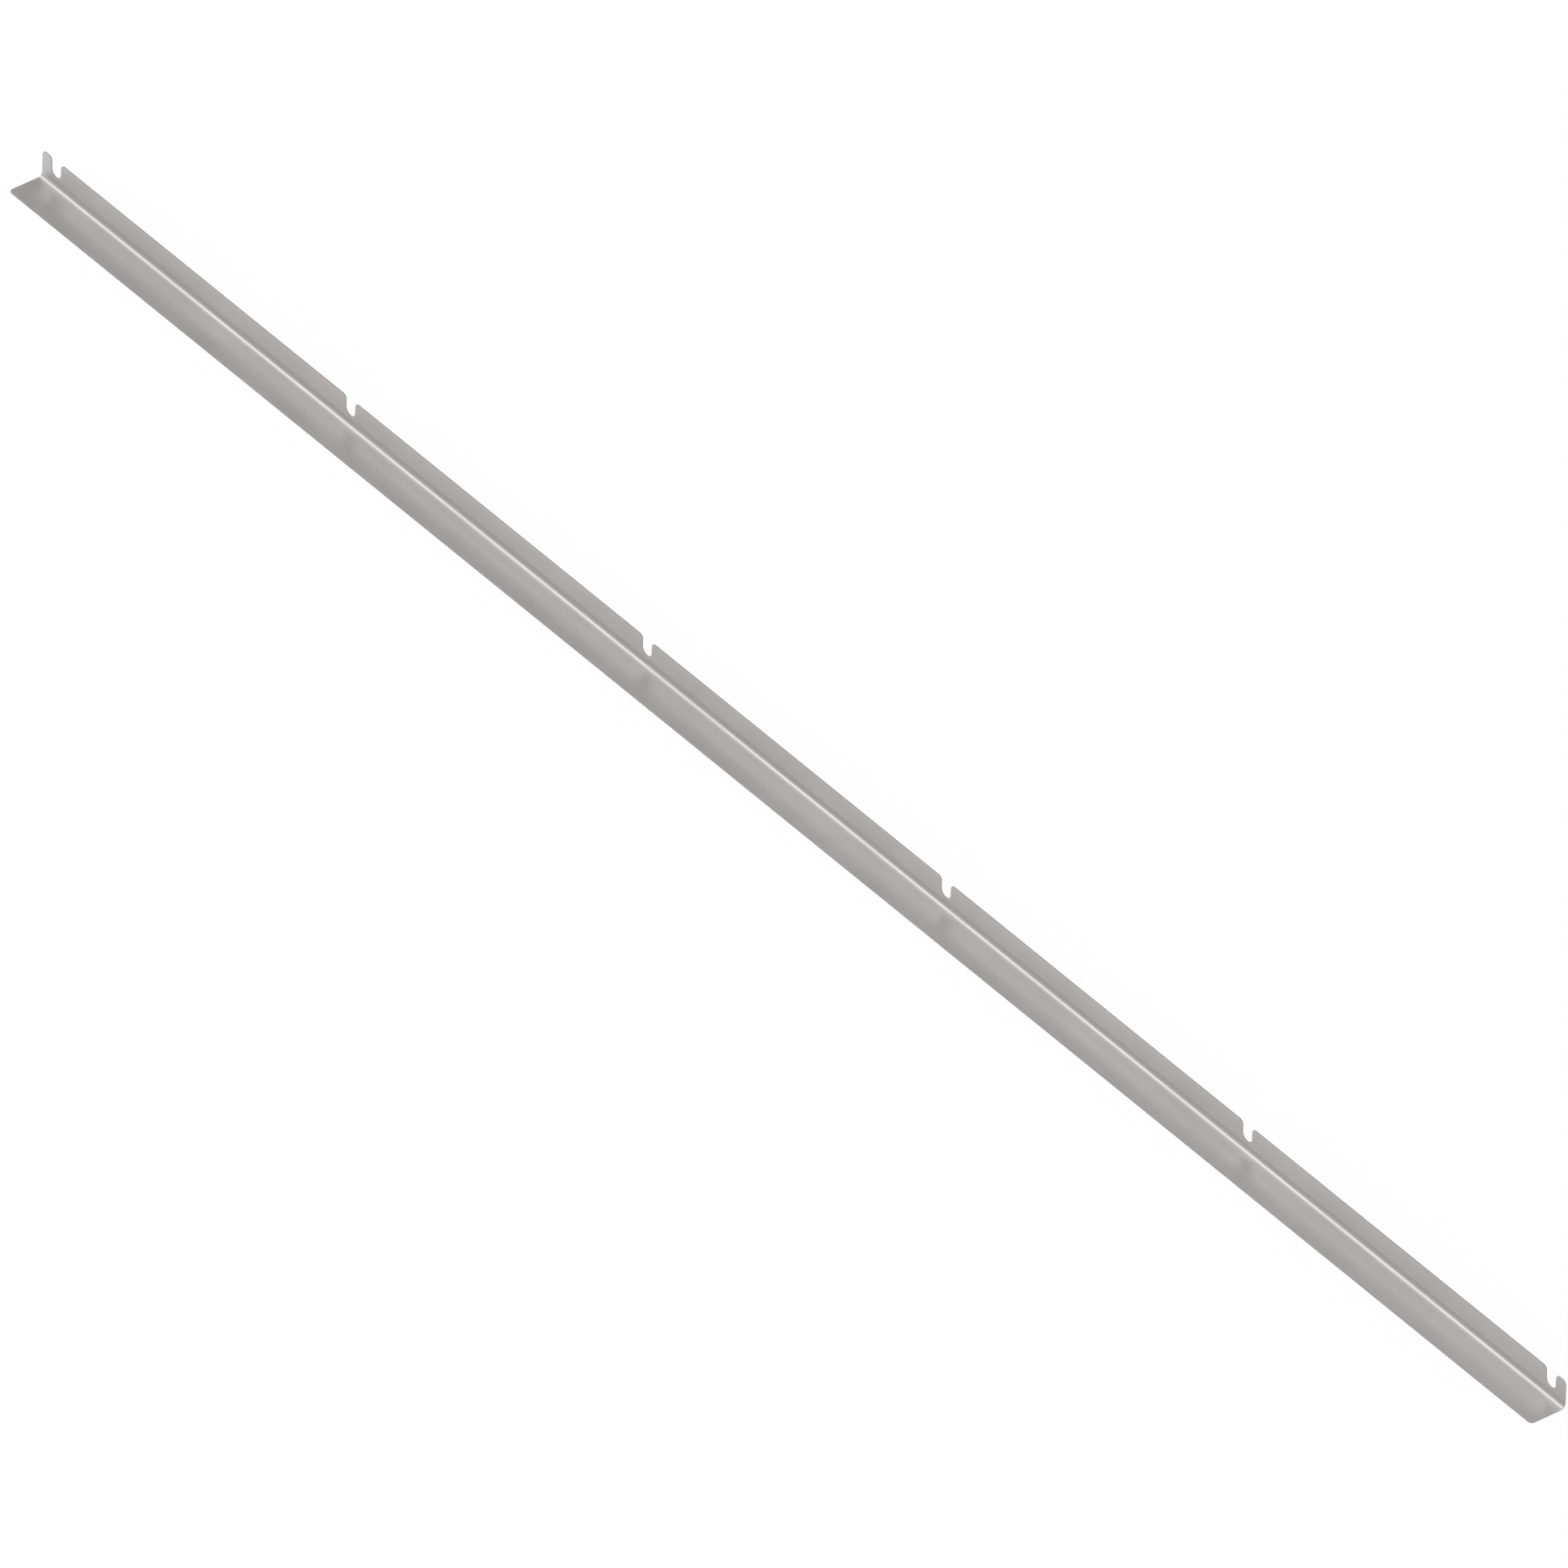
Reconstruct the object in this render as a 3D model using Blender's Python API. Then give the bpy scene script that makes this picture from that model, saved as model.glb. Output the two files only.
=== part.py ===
"""A slotted angle strip: one steel sheet, cut flat with six open slots along one edge, then folded square.

Metres, +Z up. X runs along the strip, the base lies on Z = 0 and reaches forward to -Y, and the upright stands
at the back with its outer face towards +Y. The origin is under the middle of the strip.
"""

from math import cos, pi, radians, sin

import bmesh
import bpy

# The sheet and its fold. The base and the upright are measured over the outside of the fold.
SHEET_THICKNESS = 0.0007
BASE_WIDTH = 0.035
UPRIGHT_HEIGHT = 0.027
BEND_INNER_RADIUS = 0.0045
NEUTRAL_LINE = 0.44  # where the sheet keeps its length in the fold, as a share of its thickness from the inside

# The row of slots, open at the top edge of the upright.
SLOT_COUNT = 6
SLOT_PITCH = 0.3926
END_MARGIN = 0.0185  # from each end of the strip to the middle of the nearest slot
SLOT_WIDTH = 0.0125
SLOT_DEPTH = 0.0168
SLOT_MOUTH_RADIUS = 0.0042

# The rounded free corners of the sheet.
UPRIGHT_CORNER_RADIUS = 0.004
BASE_CORNER_RADIUS = 0.0041

# The facets of each quarter circle in the outline, and of the fold.
ARC_STEPS = 8
BEND_STEPS = 12

# What follows from the sizes above.
STRIP_LENGTH = (SLOT_COUNT - 1) * SLOT_PITCH + 2 * END_MARGIN
BEND_OUTER_RADIUS = BEND_INNER_RADIUS + SHEET_THICKNESS
BEND_ALLOWANCE = pi / 2 * (BEND_INNER_RADIUS + NEUTRAL_LINE * SHEET_THICKNESS)
BASE_FLAT = BASE_WIDTH - BEND_OUTER_RADIUS
UPRIGHT_FLAT = UPRIGHT_HEIGHT - BEND_OUTER_RADIUS
BLANK_WIDTH = BASE_FLAT + BEND_ALLOWANCE + UPRIGHT_FLAT

STEEL_COLOUR = (0.57, 0.56, 0.55, 1.0)
STEEL_ROUGHNESS = 0.31


def clear_scene():
    for old in list(bpy.data.objects):
        bpy.data.objects.remove(old)


def satin_steel():
    material = bpy.data.materials.new("satin_steel")
    material.use_nodes = True
    shader = material.node_tree.nodes["Principled BSDF"]
    shader.inputs["Base Color"].default_value = STEEL_COLOUR
    shader.inputs["Metallic"].default_value = 1.0
    shader.inputs["Roughness"].default_value = STEEL_ROUGHNESS
    return material


def arc(centre_x, centre_s, radius, start, stop):
    """Points of a quarter circle in the flat blank, with both ends, for angles in degrees."""
    turns = [radians(start + (stop - start) * i / ARC_STEPS) for i in range(ARC_STEPS + 1)]
    return [(centre_x + radius * cos(turn), centre_s + radius * sin(turn)) for turn in turns]


def slot_outline(middle, mouth, floor):
    """One slot from right to left: rounded mouth corner, round floor, rounded mouth corner."""
    half = SLOT_WIDTH / 2
    mouth_s = BLANK_WIDTH - mouth
    floor_s = BLANK_WIDTH - SLOT_DEPTH + floor
    return (
        arc(middle + half + mouth, mouth_s, mouth, 90, 180)
        + arc(middle + half - floor, floor_s, floor, 0, -90)
        + arc(middle - half + floor, floor_s, floor, -90, -180)
        + arc(middle - half - mouth, mouth_s, mouth, 0, 90)
    )


def blank_outline():
    """The flat sheet's edge as (x, s) points, counterclockwise, where s runs from the base's free edge upwards."""
    end_tab = END_MARGIN - SLOT_WIDTH / 2
    mouth = min(SLOT_MOUTH_RADIUS, end_tab / 2, SLOT_DEPTH / 2)
    floor = min(SLOT_WIDTH / 2, SLOT_DEPTH - mouth)
    top = min(UPRIGHT_CORNER_RADIUS, end_tab - mouth)
    bottom = min(BASE_CORNER_RADIUS, BASE_FLAT)
    end = STRIP_LENGTH / 2

    points = arc(bottom - end, bottom, bottom, 180, 270)
    points += arc(end - bottom, bottom, bottom, 270, 360)
    points += arc(end - top, BLANK_WIDTH - top, top, 0, 90)
    for i in reversed(range(SLOT_COUNT)):
        points += slot_outline((i - (SLOT_COUNT - 1) / 2) * SLOT_PITCH, mouth, floor)
    points += arc(top - end, BLANK_WIDTH - top, top, 90, 180)
    return points


def flat_blank():
    """The cut sheet as a closed plate, standing on its outer face, with an edge along every line of the fold."""
    sheet = bmesh.new()
    corners = [sheet.verts.new((x, s, 0.0)) for x, s in blank_outline()]
    sheet.faces.new(corners)
    bmesh.ops.remove_doubles(sheet, verts=corners, dist=SHEET_THICKNESS / 1000)
    raised = bmesh.ops.extrude_face_region(sheet, geom=sheet.faces[:])["geom"]
    inner = [v for v in raised if isinstance(v, bmesh.types.BMVert)]
    bmesh.ops.translate(sheet, verts=inner, vec=(0.0, 0.0, SHEET_THICKNESS))
    for i in range(BEND_STEPS + 1):
        line = BASE_FLAT + BEND_ALLOWANCE * i / BEND_STEPS
        bmesh.ops.bisect_plane(
            sheet,
            geom=sheet.verts[:] + sheet.edges[:] + sheet.faces[:],
            dist=SHEET_THICKNESS / 1000,
            plane_co=(0.0, line, 0.0),
            plane_no=(0.0, 1.0, 0.0),
        )
    return sheet


def folded(point):
    """Where a point of the flat blank comes to lie: its Z there is its depth from the outer face."""
    x, s, depth = point
    back = BASE_WIDTH / 2
    if s <= BASE_FLAT:
        return x, s - back, depth
    past = s - BASE_FLAT
    if past >= BEND_ALLOWANCE:
        return x, back - depth, BEND_OUTER_RADIUS + past - BEND_ALLOWANCE
    turn = pi / 2 * past / BEND_ALLOWANCE
    radius = BEND_OUTER_RADIUS - depth
    return x, back - BEND_OUTER_RADIUS + radius * sin(turn), BEND_OUTER_RADIUS - radius * cos(turn)


def slotted_angle():
    sheet = flat_blank()
    for vertex in sheet.verts:
        vertex.co = folded(vertex.co)
    bmesh.ops.recalc_face_normals(sheet, faces=sheet.faces[:])

    mesh = bpy.data.meshes.new("slotted_angle")
    sheet.to_mesh(mesh)
    sheet.free()
    mesh.shade_smooth()
    mesh.set_sharp_from_angle(angle=radians(30))
    mesh.materials.append(satin_steel())
    strip = bpy.data.objects.new("slotted_angle", mesh)
    bpy.context.scene.collection.objects.link(strip)
    return strip


clear_scene()
slotted_angle()
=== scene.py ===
from math import cos, pi, radians, sin

import bmesh
import bpy
from mathutils import Matrix, Vector


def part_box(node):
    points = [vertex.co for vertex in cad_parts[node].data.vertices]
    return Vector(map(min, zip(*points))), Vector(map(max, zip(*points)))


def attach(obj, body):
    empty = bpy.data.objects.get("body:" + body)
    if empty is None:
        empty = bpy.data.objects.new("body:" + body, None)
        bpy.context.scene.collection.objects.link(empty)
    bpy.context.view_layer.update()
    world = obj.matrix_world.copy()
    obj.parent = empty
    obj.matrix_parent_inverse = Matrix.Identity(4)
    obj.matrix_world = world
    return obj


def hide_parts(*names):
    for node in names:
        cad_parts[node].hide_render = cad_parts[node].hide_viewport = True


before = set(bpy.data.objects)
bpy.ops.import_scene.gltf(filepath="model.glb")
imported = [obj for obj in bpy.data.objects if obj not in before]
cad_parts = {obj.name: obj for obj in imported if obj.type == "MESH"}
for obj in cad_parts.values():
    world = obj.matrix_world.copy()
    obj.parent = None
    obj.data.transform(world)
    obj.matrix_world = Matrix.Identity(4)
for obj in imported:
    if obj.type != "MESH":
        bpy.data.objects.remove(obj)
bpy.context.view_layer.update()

mm = 0.001
stripNode = "slotted_angle"
print("frame loaded:", sorted(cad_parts))


# An sRGB hex colour as linear red, green, blue and alpha.
def linear(hexColour):
    shares = [int(hexColour[i:i + 2], 16) / 255 for i in (1, 3, 5)]
    return [c / 12.92 if c <= 0.04045 else ((c + 0.055) / 1.055) ** 2.4 for c in shares] + [1.0]


# Settings are a node's inputs, by name or number, or its properties. Links are sockets that feed it.
def addNode(tree, kind, settings, links=None):
    node = tree.nodes.new(kind)
    for name, value in settings.items():
        if isinstance(name, int) or name in node.inputs:
            node.inputs[name].default_value = value
        else:
            setattr(node, name, value)
    for name, socket in (links or {}).items():
        tree.links.new(socket, node.inputs[name])
    return node


def newMaterial(name):
    material = bpy.data.materials.new(name)
    material.use_nodes = True
    return material, material.node_tree, material.node_tree.nodes["Principled BSDF"]


# Cold-rolled steel sheet, left as it comes off the temper rolls and wiped clean. The eye gets a grey
# metal that blurs what it mirrors, with faint streaks along the sheet, cloudy patches from handling
# and a few rubbed lines.
rolledSteel = {
    "colour": "#cac8c7",
    "streakColour": "#c3c1c0",
    "roughness": (0.36, 0.44),
    "patterns": {  # mm along the sheet, mm across it, detail of the noise
        "streak": (420.0, 5.0, 2.0),  # wide enough to show with the whole strip in view
        "grain": (45.0, 0.5, 3.0),  # real grain is near 0.05 mm wide, drawn coarser to show close up
        "patch": (60.0, 60.0, 4.0),  # about a hand's grip
        "rub": (70.0, 0.9, 1.0),  # real rubbed lines are hair-fine, drawn wider so that they show
    },
    "grainShare": 0.5,  # how much the grain adds to the patches
    "cloudRange": (0.5, 1.0),  # patches and grain between these go from smooth to dull
    "rubRange": (0.64, 0.7),  # the noise between these turns into a line
    "rubDulling": 0.09,
    "grainRelief": 0.005,  # mm
}


def rolledSteelSheet():
    spec = rolledSteel
    material, tree, shader = newMaterial("coldRolledSteelSheet")
    place = addNode(tree, "ShaderNodeTexCoord", {}).outputs["Object"]

    # Each pattern is a noise drawn out along the sheet.
    patterns = {}
    for name, (along, across, detail) in spec["patterns"].items():
        perMetre = (1 / (along * mm), 1 / (across * mm), 1 / (across * mm))
        drawnOut = addNode(tree, "ShaderNodeMapping", {"Scale": perMetre}, {"Vector": place})
        patterns[name] = addNode(
            tree, "ShaderNodeTexNoise", {"Scale": 1.0, "Detail": detail},
            {"Vector": drawnOut.outputs["Vector"]},
        ).outputs["Fac"]

    tint = addNode(
        tree, "ShaderNodeMix",
        {"data_type": "RGBA", 6: linear(spec["streakColour"]), 7: linear(spec["colour"])},
        {0: patterns["streak"]},
    )

    # Patches and grain set the gloss, and the rubbed lines dull it.
    cloud = addNode(
        tree, "ShaderNodeMath", {"operation": "MULTIPLY_ADD", 1: spec["grainShare"]},
        {0: patterns["grain"], 2: patterns["patch"]},
    )
    low, high = spec["cloudRange"]
    smooth, dull = spec["roughness"]
    gloss = addNode(
        tree, "ShaderNodeMapRange",
        {"From Min": low, "From Max": high, "To Min": smooth, "To Max": dull},
        {"Value": cloud.outputs["Value"]},
    )
    lineStart, lineFull = spec["rubRange"]
    lines = addNode(
        tree, "ShaderNodeMapRange",
        {"From Min": lineStart, "From Max": lineFull, "To Min": 0.0, "To Max": spec["rubDulling"]},
        {"Value": patterns["rub"]},
    )
    dulled = addNode(
        tree, "ShaderNodeMath", {"operation": "ADD"},
        {0: gloss.outputs["Result"], 1: lines.outputs["Result"]},
    )
    relief = addNode(
        tree, "ShaderNodeBump", {"Strength": 1.0, "Distance": spec["grainRelief"] * mm},
        {"Height": patterns["grain"]},
    )
    shader.inputs["Metallic"].default_value = 1.0
    tree.links.new(tint.outputs[2], shader.inputs["Base Color"])
    tree.links.new(dulled.outputs["Value"], shader.inputs["Roughness"])
    tree.links.new(relief.outputs["Normal"], shader.inputs["Normal"])
    return material


# Steel where the shear and the punch went through. The eye gets a thin darker line round the sheet,
# part burnished by the tool and part torn, so it is dull and flecked.
shearedEdge = {
    "colour": "#8c8a88",
    "tornColour": "#6c6a68",
    "roughness": (0.5, 0.9),
    "fleck": 0.35,  # mm
    "fleckDetail": 2.0,
    "fleckRange": (0.35, 0.65),  # the noise between these goes from burnished to torn
    "fleckRelief": 0.02,  # mm
}


def shearedSteelEdge():
    spec = shearedEdge
    material, tree, shader = newMaterial("shearedSteelEdge")
    place = addNode(tree, "ShaderNodeTexCoord", {}).outputs["Object"]
    flecks = addNode(
        tree, "ShaderNodeTexNoise", {"Scale": 1 / (spec["fleck"] * mm), "Detail": spec["fleckDetail"]},
        {"Vector": place},
    ).outputs["Fac"]
    tint = addNode(
        tree, "ShaderNodeMix",
        {"data_type": "RGBA", 6: linear(spec["colour"]), 7: linear(spec["tornColour"])},
        {0: flecks},
    )
    low, high = spec["fleckRange"]
    burnished, torn = spec["roughness"]
    gloss = addNode(
        tree, "ShaderNodeMapRange",
        {"From Min": low, "From Max": high, "To Min": burnished, "To Max": torn},
        {"Value": flecks},
    )
    relief = addNode(
        tree, "ShaderNodeBump", {"Strength": 1.0, "Distance": spec["fleckRelief"] * mm},
        {"Height": flecks},
    )
    shader.inputs["Metallic"].default_value = 1.0
    tree.links.new(tint.outputs[2], shader.inputs["Base Color"])
    tree.links.new(gloss.outputs["Result"], shader.inputs["Roughness"])
    tree.links.new(relief.outputs["Normal"], shader.inputs["Normal"])
    return material


# The strip: a blank cut with its slots and round corners, its rims rounded, then folded square.
# Lengths are in mm.
strip = {
    "sheet": 0.7,
    "bendRadius": 4.5,  # inside
    "neutralLine": 0.44,  # where the sheet keeps its length, as a share of it from the inner face
    "slotCount": 6,
    "slotPitch": 392.6,
    "slotWidth": 12.5,
    "slotDepth": 16.8,
    "mouthRadius": 4.2,
    "topCornerRadius": 4.0,
    "baseCornerRadius": 4.1,
    "rollover": 0.12,  # rounding of the inner rim
    "deburr": 0.04,  # of the outer rim
    "rimSteps": 2,
    "arcSteps": 24,  # in each quarter circle
    "bendSteps": 48,
    "guard": 0.4,  # keeps the fold's shading off the flats
    "bays": 41,  # that the long faces are cut into
    "innerLevel": 0.1,  # a face of the blank that looks up by more is the inner face or its rim
    "outerLevel": 0.99,  # one that looks down by more is the outer face
    "sharpAngle": 20.0,  # degrees
}

lowest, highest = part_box(stripNode)
stripLength = highest.x - lowest.x
baseWidth = highest.y - lowest.y
uprightHeight = highest.z - lowest.z
sheet = strip["sheet"] * mm
weldDistance = sheet / 1000
outerRadius = strip["bendRadius"] * mm + sheet
bendAllowance = pi / 2 * (strip["bendRadius"] * mm + strip["neutralLine"] * sheet)
baseFlat = baseWidth - outerRadius
blankWidth = baseFlat + bendAllowance + uprightHeight - outerRadius


def quarter(centreX, centreS, radius, start, stop):
    steps = strip["arcSteps"]
    turns = [radians(start + (stop - start) * i / steps) for i in range(steps + 1)]
    return [(centreX + radius * cos(turn), centreS + radius * sin(turn)) for turn in turns]


# Points of the flat blank: x along the strip, s from the base's free edge to the upright's.
def blankOutline():
    end = stripLength / 2
    bottom = strip["baseCornerRadius"] * mm
    top = strip["topCornerRadius"] * mm
    mouth = strip["mouthRadius"] * mm
    half = strip["slotWidth"] * mm / 2
    floorS = blankWidth - strip["slotDepth"] * mm + half

    points = quarter(bottom - end, bottom, bottom, 180, 270)
    points += quarter(end - bottom, bottom, bottom, 270, 360)
    points += quarter(end - top, blankWidth - top, top, 0, 90)
    for i in reversed(range(strip["slotCount"])):
        middle = (i - (strip["slotCount"] - 1) / 2) * strip["slotPitch"] * mm
        points += quarter(middle + half + mouth, blankWidth - mouth, mouth, 90, 180)
        points += quarter(middle, floorS, half, 0, -90)
        points += quarter(middle, floorS, half, -90, -180)
        points += quarter(middle - half - mouth, blankWidth - mouth, mouth, 0, 90)
    points += quarter(top - end, blankWidth - top, top, 90, 180)
    return points


def folded(point):
    x, s, depth = point  # depth from the outer face
    back = baseWidth / 2
    past = s - baseFlat
    if past <= 0:
        return x, s - back, depth
    if past >= bendAllowance:
        return x, back - depth, outerRadius + past - bendAllowance
    turn = pi / 2 * past / bendAllowance
    radius = outerRadius - depth
    return x, back - outerRadius + radius * sin(turn), outerRadius - radius * cos(turn)


def foldedStrip():
    blank = bmesh.new()
    corners = [blank.verts.new((x, s, 0.0)) for x, s in blankOutline()]
    blank.faces.new(corners)
    bmesh.ops.remove_doubles(blank, verts=corners, dist=weldDistance)
    raised = bmesh.ops.extrude_face_region(blank, geom=blank.faces[:])["geom"]
    inner = [part for part in raised if isinstance(part, bmesh.types.BMVert)]
    bmesh.ops.translate(blank, verts=inner, vec=(0.0, 0.0, sheet))
    bmesh.ops.recalc_face_normals(blank, faces=blank.faces[:])

    # The punch rolls the inner rim over and leaves it smooth. The rest of the cut gets the second
    # material.
    for height, rimWidth in ((sheet, strip["rollover"]), (0.0, strip["deburr"])):
        rim = [e for e in blank.edges if all(abs(v.co.z - height) < weldDistance for v in e.verts)]
        bmesh.ops.bevel(
            blank, geom=rim, offset=rimWidth * mm, segments=strip["rimSteps"],
            profile=0.5, affect="EDGES", clamp_overlap=True,  # 0.5 is round
        )
    for face in blank.faces:
        isSheet = face.normal.z > strip["innerLevel"] or face.normal.z < -strip["outerLevel"]
        face.material_index = 0 if isSheet else 1

    # Lines of the fold, a guard line on each flat beside it, and lines across the strip.
    bend = [baseFlat + bendAllowance * i / strip["bendSteps"] for i in range(strip["bendSteps"] + 1)]
    guards = [bend[0] - strip["guard"] * mm, bend[-1] + strip["guard"] * mm]
    across = [stripLength * (i / strip["bays"] - 0.5) for i in range(1, strip["bays"])]
    cuts = [((0.0, s, 0.0), (0.0, 1.0, 0.0)) for s in bend + guards]
    cuts += [((x, 0.0, 0.0), (1.0, 0.0, 0.0)) for x in across]
    for place, normal in cuts:
        everything = blank.verts[:] + blank.edges[:] + blank.faces[:]
        bmesh.ops.bisect_plane(
            blank, geom=everything, dist=weldDistance, plane_co=place, plane_no=normal
        )

    for vertex in blank.verts:
        vertex.co = folded(vertex.co)
    bmesh.ops.recalc_face_normals(blank, faces=blank.faces[:])

    # The cuts leave points and faces in an order that differs from run to run, so both are sorted.
    pointRank = {v: i for i, v in enumerate(sorted(blank.verts, key=lambda v: v.co[:]))}
    faceRank = {f: i for i, f in enumerate(sorted(blank.faces, key=lambda f: f.calc_center_median()[:]))}
    blank.verts.sort(key=pointRank.get)
    blank.faces.sort(key=faceRank.get)

    mesh = bpy.data.meshes.new("folded_strip")
    blank.to_mesh(mesh)
    blank.free()
    mesh.shade_smooth()
    mesh.set_sharp_from_angle(angle=radians(strip["sharpAngle"]))
    mesh.materials.append(rolledSteelSheet())
    mesh.materials.append(shearedSteelEdge())
    piece = bpy.data.objects.new("folded_strip", mesh)
    bpy.context.scene.collection.objects.link(piece)
    return piece


stripPiece = foldedStrip()
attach(stripPiece, "root")
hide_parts(stripNode)
print("strip:", len(stripPiece.data.polygons), "faces")


# The studio: a white floor that keeps a faint shadow, a white surround, one large softbox, two grey
# cards and a white one overhead that glows brighter than the surround, as a second light. Directions are
# in degrees, azimuth round from -Y towards +X.
# Distances and sizes are in metres.
studio = {
    "floor": {
        "size": 12.0,
        "drop": 0.1,  # mm below the strip
        "colour": "#f4f4f4",
        "roughness": 0.9,
        "glow": 0.9,  # share of plain white in what the camera and the metal see of the floor
    },
    "softbox": {
        "azimuth": -47.0, "elevation": 40.2, "distance": 20.0, "size": (21.0, 5.6),
        "radiance": 1.55,  # added to the surround's 1
        "colour": "#fffaf3",
    },
    "cards": {
        "low_card": {
            "azimuth": -41.0, "elevation": 18.0, "distance": 20.0, "size": (22.5, 9.2),
            "glow": 0.44, "colour": "#fffcf8",
        },
        "top_card": {
            "azimuth": -95.0, "elevation": 64.5, "distance": 20.0, "size": (6.0, 7.4),
            "glow": 1.6, "colour": "#fffdfb",
        },
        "back_card": {
            "azimuth": -138.0, "elevation": 23.5, "distance": 20.0, "size": (29.0, 17.4),
            "glow": 0.36, "colour": "#fffdfb",
        },
    },
    "surround": {"colour": "#ffffff", "strength": 1.0},
}


def direction(azimuth, elevation):
    a, e = radians(azimuth), radians(elevation)
    return Vector((sin(a) * cos(e), -cos(a) * cos(e), sin(e)))


def facing(spot):
    back = direction(spot["azimuth"], spot["elevation"])
    turned = back.to_track_quat("Z", "Y").to_matrix().to_4x4()  # local Z points away from the strip
    return Matrix.Translation(back * spot["distance"]) @ turned


def flatPanel(name, width, height):
    x, y = width / 2, height / 2
    mesh = bpy.data.meshes.new(name)
    mesh.from_pydata([(-x, -y, 0), (x, -y, 0), (x, y, 0), (-x, y, 0)], [], [(0, 1, 2, 3)])
    panel = bpy.data.objects.new(name, mesh)
    bpy.context.scene.collection.objects.link(panel)
    return panel


# Matt white paint: the eye gets an even white with no shine, and a faint shadow under the strip.
def paintedFloor():
    spec = studio["floor"]
    material, tree, shader = newMaterial("matPaintedFloor")
    shader.inputs["Base Color"].default_value = linear(spec["colour"])
    shader.inputs["Roughness"].default_value = spec["roughness"]
    shader.inputs["Specular IOR Level"].default_value = 0.0
    path = addNode(tree, "ShaderNodeLightPath", {})
    seen = path.outputs["Is Camera Ray"]
    for ray in ("Is Glossy Ray", "Is Transmission Ray"):
        seen = addNode(
            tree, "ShaderNodeMath", {"operation": "MAXIMUM"}, {0: seen, 1: path.outputs[ray]}
        ).outputs["Value"]
    share = addNode(tree, "ShaderNodeMath", {"operation": "MULTIPLY", 1: spec["glow"]}, {0: seen})
    glow = addNode(tree, "ShaderNodeEmission", {"Strength": 1.0})
    mixed = addNode(
        tree, "ShaderNodeMixShader", {},
        {"Fac": share.outputs["Value"], 1: shader.outputs["BSDF"], 2: glow.outputs["Emission"]},
    )
    tree.links.new(mixed.outputs["Shader"], tree.nodes["Material Output"].inputs["Surface"])
    return material


# A card that glows evenly: grey where its glow is under 1, brighter than the surround where it is over.
def greyCard(name, spot):
    card = flatPanel(name, *spot["size"])
    card.matrix_world = facing(spot)
    card.visible_camera = card.visible_diffuse = card.visible_shadow = False  # only the metal sees it
    material, tree = newMaterial("matGreyCard")[:2]
    glow = addNode(
        tree, "ShaderNodeEmission", {"Color": linear(spot["colour"]), "Strength": spot["glow"]}
    )
    tree.links.new(glow.outputs["Emission"], tree.nodes["Material Output"].inputs["Surface"])
    card.data.materials.append(material)
    return card


def softboxLamp():
    spot = studio["softbox"]
    light = bpy.data.lights.new("softbox", "AREA")
    light.shape = "RECTANGLE"
    light.size, light.size_y = spot["size"]
    light.color = linear(spot["colour"])[:3]
    light.energy = spot["radiance"] * pi * light.size * light.size_y
    lamp = bpy.data.objects.new("softbox", light)
    lamp.matrix_world = facing(spot)
    lamp.visible_camera = False
    bpy.context.scene.collection.objects.link(lamp)


floor = flatPanel("floor", studio["floor"]["size"], studio["floor"]["size"])
floor.location.z = lowest.z - studio["floor"]["drop"] * mm
floor.data.materials.append(paintedFloor())
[greyCard(name, spot) for name, spot in studio["cards"].items()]
softboxLamp()

surround = bpy.data.worlds.new("white_surround")
surround.use_nodes = True
background = surround.node_tree.nodes["Background"]
background.inputs["Color"].default_value = linear(studio["surround"]["colour"])
background.inputs["Strength"].default_value = studio["surround"]["strength"]
bpy.context.scene.world = surround
print("studio: floor, cards, softbox and surround")


# The camera stands far off with a long lens, so that the strip's edges run nearly parallel, as in the
# photo.
view = {
    "azimuth": 50.857,  # degrees, from -Y round towards +X
    "elevation": 37.878,
    "roll": 1.96,
    "distance": 59.775,  # m
    "lens": 1700.0,  # mm
    "sensor": 36.0,  # mm wide
    "aside": 3.627,  # mm from the strip's middle to the middle of the picture
    "below": 2.891,
}


def photoCamera():
    azimuth, roll = radians(view["azimuth"]), radians(view["roll"])
    back = direction(view["azimuth"], view["elevation"])
    level = Vector((cos(azimuth), sin(azimuth), 0.0))
    upright = back.cross(level)
    right = cos(roll) * level + sin(roll) * upright
    up = cos(roll) * upright - sin(roll) * level
    target = (lowest + highest) / 2 + (view["aside"] * right - view["below"] * up) * mm
    data = bpy.data.cameras.new("photo_camera")
    data.lens = view["lens"]
    data.sensor_width = view["sensor"]
    data.clip_end = view["distance"] * 2
    camera = bpy.data.objects.new("photo_camera", data)
    turned = Matrix((right, up, back)).transposed().to_4x4()
    camera.matrix_world = Matrix.Translation(target + back * view["distance"]) @ turned
    bpy.context.scene.collection.objects.link(camera)
    return camera


bpy.context.scene.camera = photoCamera()
bpy.context.scene.view_settings.view_transform = "Standard"
print("camera placed")
